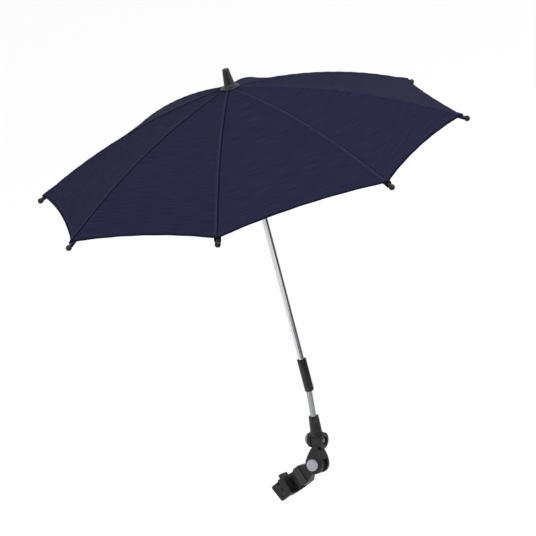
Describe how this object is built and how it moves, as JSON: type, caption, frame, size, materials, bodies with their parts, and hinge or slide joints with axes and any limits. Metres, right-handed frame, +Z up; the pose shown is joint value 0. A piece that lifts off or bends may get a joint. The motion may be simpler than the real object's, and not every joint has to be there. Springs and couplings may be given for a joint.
{
  "type": "pram parasol",
  "caption": "Clip-on pram parasol: ribbed cloth canopy that folds, on a tilting metal shaft, carried by a screw clamp with push-button locking joints.",
  "frame": {"origin": "middle of the clamp's throat, on the axis of the pram tube that it grips", "axes": "+Z up along the upper tube to the ferrule, Y along the axis of the tilt joint, -Y on the side of the lower button"},
  "size_m": [0.699, 0.6989, 0.761],
  "materials": {
    "black_nylon": "fine matt moulded",
    "black_gloss_plastic": "smooth moulded",
    "grey_plastic": "satin moulded",
    "grey_rubber": "matt",
    "black_rubber": "matt",
    "chrome_tube": "bright plated",
    "aluminium_tube": "drawn and polished",
    "zinc_steel": "zinc plated",
    "spring_steel": "drawn wire",
    "black_steel": "black coated",
    "navy_cloth": "plain-weave polyester with slubs"
  },
  "bodies": {
    "clamp": {"clamp_body": "black_nylon", "jaw_liner": "grey_rubber"},
    "pad": {"pressure_pad": "black_rubber"},
    "screw": {"clamp_spindle": "zinc_steel", "wing_knob": "black_nylon"},
    "link": {"elbow_link": "black_nylon", "lower_pivot_bolt": "zinc_steel", "lower_button_spring": "spring_steel"},
    "lower_button": {"lower_release_button": "grey_plastic"},
    "socket": {"shaft_socket": "black_nylon", "socket_screw": "zinc_steel", "upper_pivot_bolt": "zinc_steel", "upper_button_spring": "spring_steel", "lower_tube": "aluminium_tube", "tilt_fork": "zinc_steel", "tilt_pin": "zinc_steel"},
    "upper_button": {"upper_release_button": "grey_plastic"},
    "shaft": {"upper_tube": "chrome_tube", "tilt_tongue": "zinc_steel", "crown_hub": "black_nylon", "crown_hinge_wire": "zinc_steel", "ferrule": "black_gloss_plastic", "canopy": "navy_cloth", "runner_stop_ring": "black_nylon"},
    "sleeve": {"locking_sleeve": "black_nylon"},
    "runner_unit": {"runner": "black_nylon"},
    "rib_unit_1": {"rib_1": "black_steel", "rib_tip_1": "black_gloss_plastic"},
    "stretcher_unit_1": {"stretcher_1": "black_steel"},
    "rib_unit_2": {"rib_2": "black_steel", "rib_tip_2": "black_gloss_plastic"},
    "stretcher_unit_2": {"stretcher_2": "black_steel"},
    "rib_unit_3": {"rib_3": "black_steel", "rib_tip_3": "black_gloss_plastic"},
    "stretcher_unit_3": {"stretcher_3": "black_steel"},
    "rib_unit_4": {"rib_4": "black_steel", "rib_tip_4": "black_gloss_plastic"},
    "stretcher_unit_4": {"stretcher_4": "black_steel"},
    "rib_unit_5": {"rib_5": "black_steel", "rib_tip_5": "black_gloss_plastic"},
    "stretcher_unit_5": {"stretcher_5": "black_steel"},
    "rib_unit_6": {"rib_6": "black_steel", "rib_tip_6": "black_gloss_plastic"},
    "stretcher_unit_6": {"stretcher_6": "black_steel"},
    "rib_unit_7": {"rib_7": "black_steel", "rib_tip_7": "black_gloss_plastic"},
    "stretcher_unit_7": {"stretcher_7": "black_steel"},
    "rib_unit_8": {"rib_8": "black_steel", "rib_tip_8": "black_gloss_plastic"},
    "stretcher_unit_8": {"stretcher_8": "black_steel"}
  },
  "joints": [
    {"name": "lower_joint_turn", "type": "hinge", "parent": "clamp", "child": "link", "pos_m": [0.04769, -0.00094, 0.02935], "axis": [-0.22, -0.9187, 0.3281], "range_deg": [-141.5, 38.5]},
    {"name": "upper_joint_turn", "type": "hinge", "parent": "link", "child": "socket", "pos_m": [0.05407, 0.01115, 0.06747], "axis": [0.9627, -0.2588, -0.0791], "range_deg": [-108, 72]},
    {"name": "lower_button_press", "type": "slide", "parent": "link", "child": "lower_button", "axis": [0.22, 0.9187, -0.3281], "range_m": [0, 0.004], "stiffness_N_per_m": 900, "springref_m": -0.002, "deforming": ["lower_button_spring"]},
    {"name": "upper_button_press", "type": "slide", "parent": "socket", "child": "upper_button", "axis": [0.9627, -0.2588, -0.0791], "range_m": [0, 0.004], "stiffness_N_per_m": 900, "springref_m": -0.002, "deforming": ["upper_button_spring"]},
    {"name": "pad_slide", "type": "slide", "parent": "clamp", "child": "pad", "axis": [-0.8515, 0.0167, -0.524], "range_m": [0, 0.006]},
    {"name": "screw_turn", "type": "hinge", "parent": "pad", "child": "screw", "pos_m": [-0.0092, 0.00018, -0.00566], "axis": [-0.8515, 0.0167, -0.524], "range_deg": [0, 720]},
    {"name": "shaft_tilt", "type": "hinge", "parent": "socket", "child": "shaft", "pos_m": [0.06271, 0.01115, 0.17251], "axis": [0, -1, 0], "range_deg": [0, 41]},
    {"name": "sleeve_slide", "type": "slide", "parent": "shaft", "child": "sleeve", "axis": [0, 0, 1], "range_m": [0, 0.03]},
    {"name": "runner_slide", "type": "slide", "parent": "shaft", "child": "runner_unit", "axis": [0, 0, 1], "range_m": [-0.23549, 0], "deforming": ["canopy"]},
    {"name": "rib_hinge_1", "type": "hinge", "parent": "shaft", "child": "rib_unit_1", "pos_m": [0.07255, 0.01289, 0.68651], "axis": [-0.1736, 0.9848, 0], "range_deg": [0, 70.29]},
    {"name": "stretcher_hinge_1", "type": "hinge", "parent": "rib_unit_1", "child": "stretcher_unit_1", "pos_m": [0.22018, 0.03892, 0.65124], "axis": [-0.1736, 0.9848, 0], "range_deg": [-140.58, 0]},
    {"name": "rib_hinge_2", "type": "hinge", "parent": "shaft", "child": "rib_unit_2", "pos_m": [0.06844, 0.01934, 0.68651], "axis": [-0.8192, 0.5736, 0], "range_deg": [0, 70.29]},
    {"name": "stretcher_hinge_2", "type": "hinge", "parent": "rib_unit_2", "child": "stretcher_unit_2", "pos_m": [0.15443, 0.14214, 0.65124], "axis": [-0.8192, 0.5736, 0], "range_deg": [-140.58, 0]},
    {"name": "rib_hinge_3", "type": "hinge", "parent": "shaft", "child": "rib_unit_3", "pos_m": [0.06097, 0.021, 0.68651], "axis": [-0.9848, -0.1736, 0], "range_deg": [0, 70.29]},
    {"name": "stretcher_hinge_3", "type": "hinge", "parent": "rib_unit_3", "child": "stretcher_unit_3", "pos_m": [0.03494, 0.16863, 0.65124], "axis": [-0.9848, -0.1736, 0], "range_deg": [-140.58, 0]},
    {"name": "rib_hinge_4", "type": "hinge", "parent": "shaft", "child": "rib_unit_4", "pos_m": [0.05452, 0.01689, 0.68651], "axis": [-0.5736, -0.8192, 0], "range_deg": [0, 70.29]},
    {"name": "stretcher_hinge_4", "type": "hinge", "parent": "rib_unit_4", "child": "stretcher_unit_4", "pos_m": [-0.06828, 0.10287, 0.65124], "axis": [-0.5736, -0.8192, 0], "range_deg": [-140.58, 0]},
    {"name": "rib_hinge_5", "type": "hinge", "parent": "shaft", "child": "rib_unit_5", "pos_m": [0.05286, 0.00941, 0.68651], "axis": [0.1736, -0.9848, 0], "range_deg": [0, 70.29]},
    {"name": "stretcher_hinge_5", "type": "hinge", "parent": "rib_unit_5", "child": "stretcher_unit_5", "pos_m": [-0.09477, -0.01662, 0.65124], "axis": [0.1736, -0.9848, 0], "range_deg": [-140.58, 0]},
    {"name": "rib_hinge_6", "type": "hinge", "parent": "shaft", "child": "rib_unit_6", "pos_m": [0.05697, 0.00296, 0.68651], "axis": [0.8192, -0.5736, 0], "range_deg": [0, 70.29]},
    {"name": "stretcher_hinge_6", "type": "hinge", "parent": "rib_unit_6", "child": "stretcher_unit_6", "pos_m": [-0.02901, -0.11984, 0.65124], "axis": [0.8192, -0.5736, 0], "range_deg": [-140.58, 0]},
    {"name": "rib_hinge_7", "type": "hinge", "parent": "shaft", "child": "rib_unit_7", "pos_m": [0.06444, 0.0013, 0.68651], "axis": [0.9848, 0.1736, 0], "range_deg": [0, 70.29]},
    {"name": "stretcher_hinge_7", "type": "hinge", "parent": "rib_unit_7", "child": "stretcher_unit_7", "pos_m": [0.09047, -0.14633, 0.65124], "axis": [0.9848, 0.1736, 0], "range_deg": [-140.58, 0]},
    {"name": "rib_hinge_8", "type": "hinge", "parent": "shaft", "child": "rib_unit_8", "pos_m": [0.0709, 0.00541, 0.68651], "axis": [0.5736, 0.8192, 0], "range_deg": [0, 70.29]},
    {"name": "stretcher_hinge_8", "type": "hinge", "parent": "rib_unit_8", "child": "stretcher_unit_8", "pos_m": [0.19369, -0.08057, 0.65124], "axis": [0.5736, 0.8192, 0], "range_deg": [-140.58, 0]}
  ],
  "couplings": [
    {"joint": "pad_slide", "follows": "screw_turn", "m_per_rad": 0.00047746},
    {"joint": "sleeve_slide", "follows": "shaft_tilt", "m_per_rad": 0.041924},
    {"joint": "rib_hinge_1", "follows": "runner_slide", "rad_per_m": -5.2088},
    {"joint": "stretcher_hinge_1", "follows": "runner_slide", "rad_per_m": 10.418},
    {"joint": "rib_hinge_2", "follows": "runner_slide", "rad_per_m": -5.2088},
    {"joint": "stretcher_hinge_2", "follows": "runner_slide", "rad_per_m": 10.418},
    {"joint": "rib_hinge_3", "follows": "runner_slide", "rad_per_m": -5.2088},
    {"joint": "stretcher_hinge_3", "follows": "runner_slide", "rad_per_m": 10.418},
    {"joint": "rib_hinge_4", "follows": "runner_slide", "rad_per_m": -5.2088},
    {"joint": "stretcher_hinge_4", "follows": "runner_slide", "rad_per_m": 10.418},
    {"joint": "rib_hinge_5", "follows": "runner_slide", "rad_per_m": -5.2088},
    {"joint": "stretcher_hinge_5", "follows": "runner_slide", "rad_per_m": 10.418},
    {"joint": "rib_hinge_6", "follows": "runner_slide", "rad_per_m": -5.2088},
    {"joint": "stretcher_hinge_6", "follows": "runner_slide", "rad_per_m": 10.418},
    {"joint": "rib_hinge_7", "follows": "runner_slide", "rad_per_m": -5.2088},
    {"joint": "stretcher_hinge_7", "follows": "runner_slide", "rad_per_m": 10.418},
    {"joint": "rib_hinge_8", "follows": "runner_slide", "rad_per_m": -5.2088},
    {"joint": "stretcher_hinge_8", "follows": "runner_slide", "rad_per_m": 10.418}
  ]
}
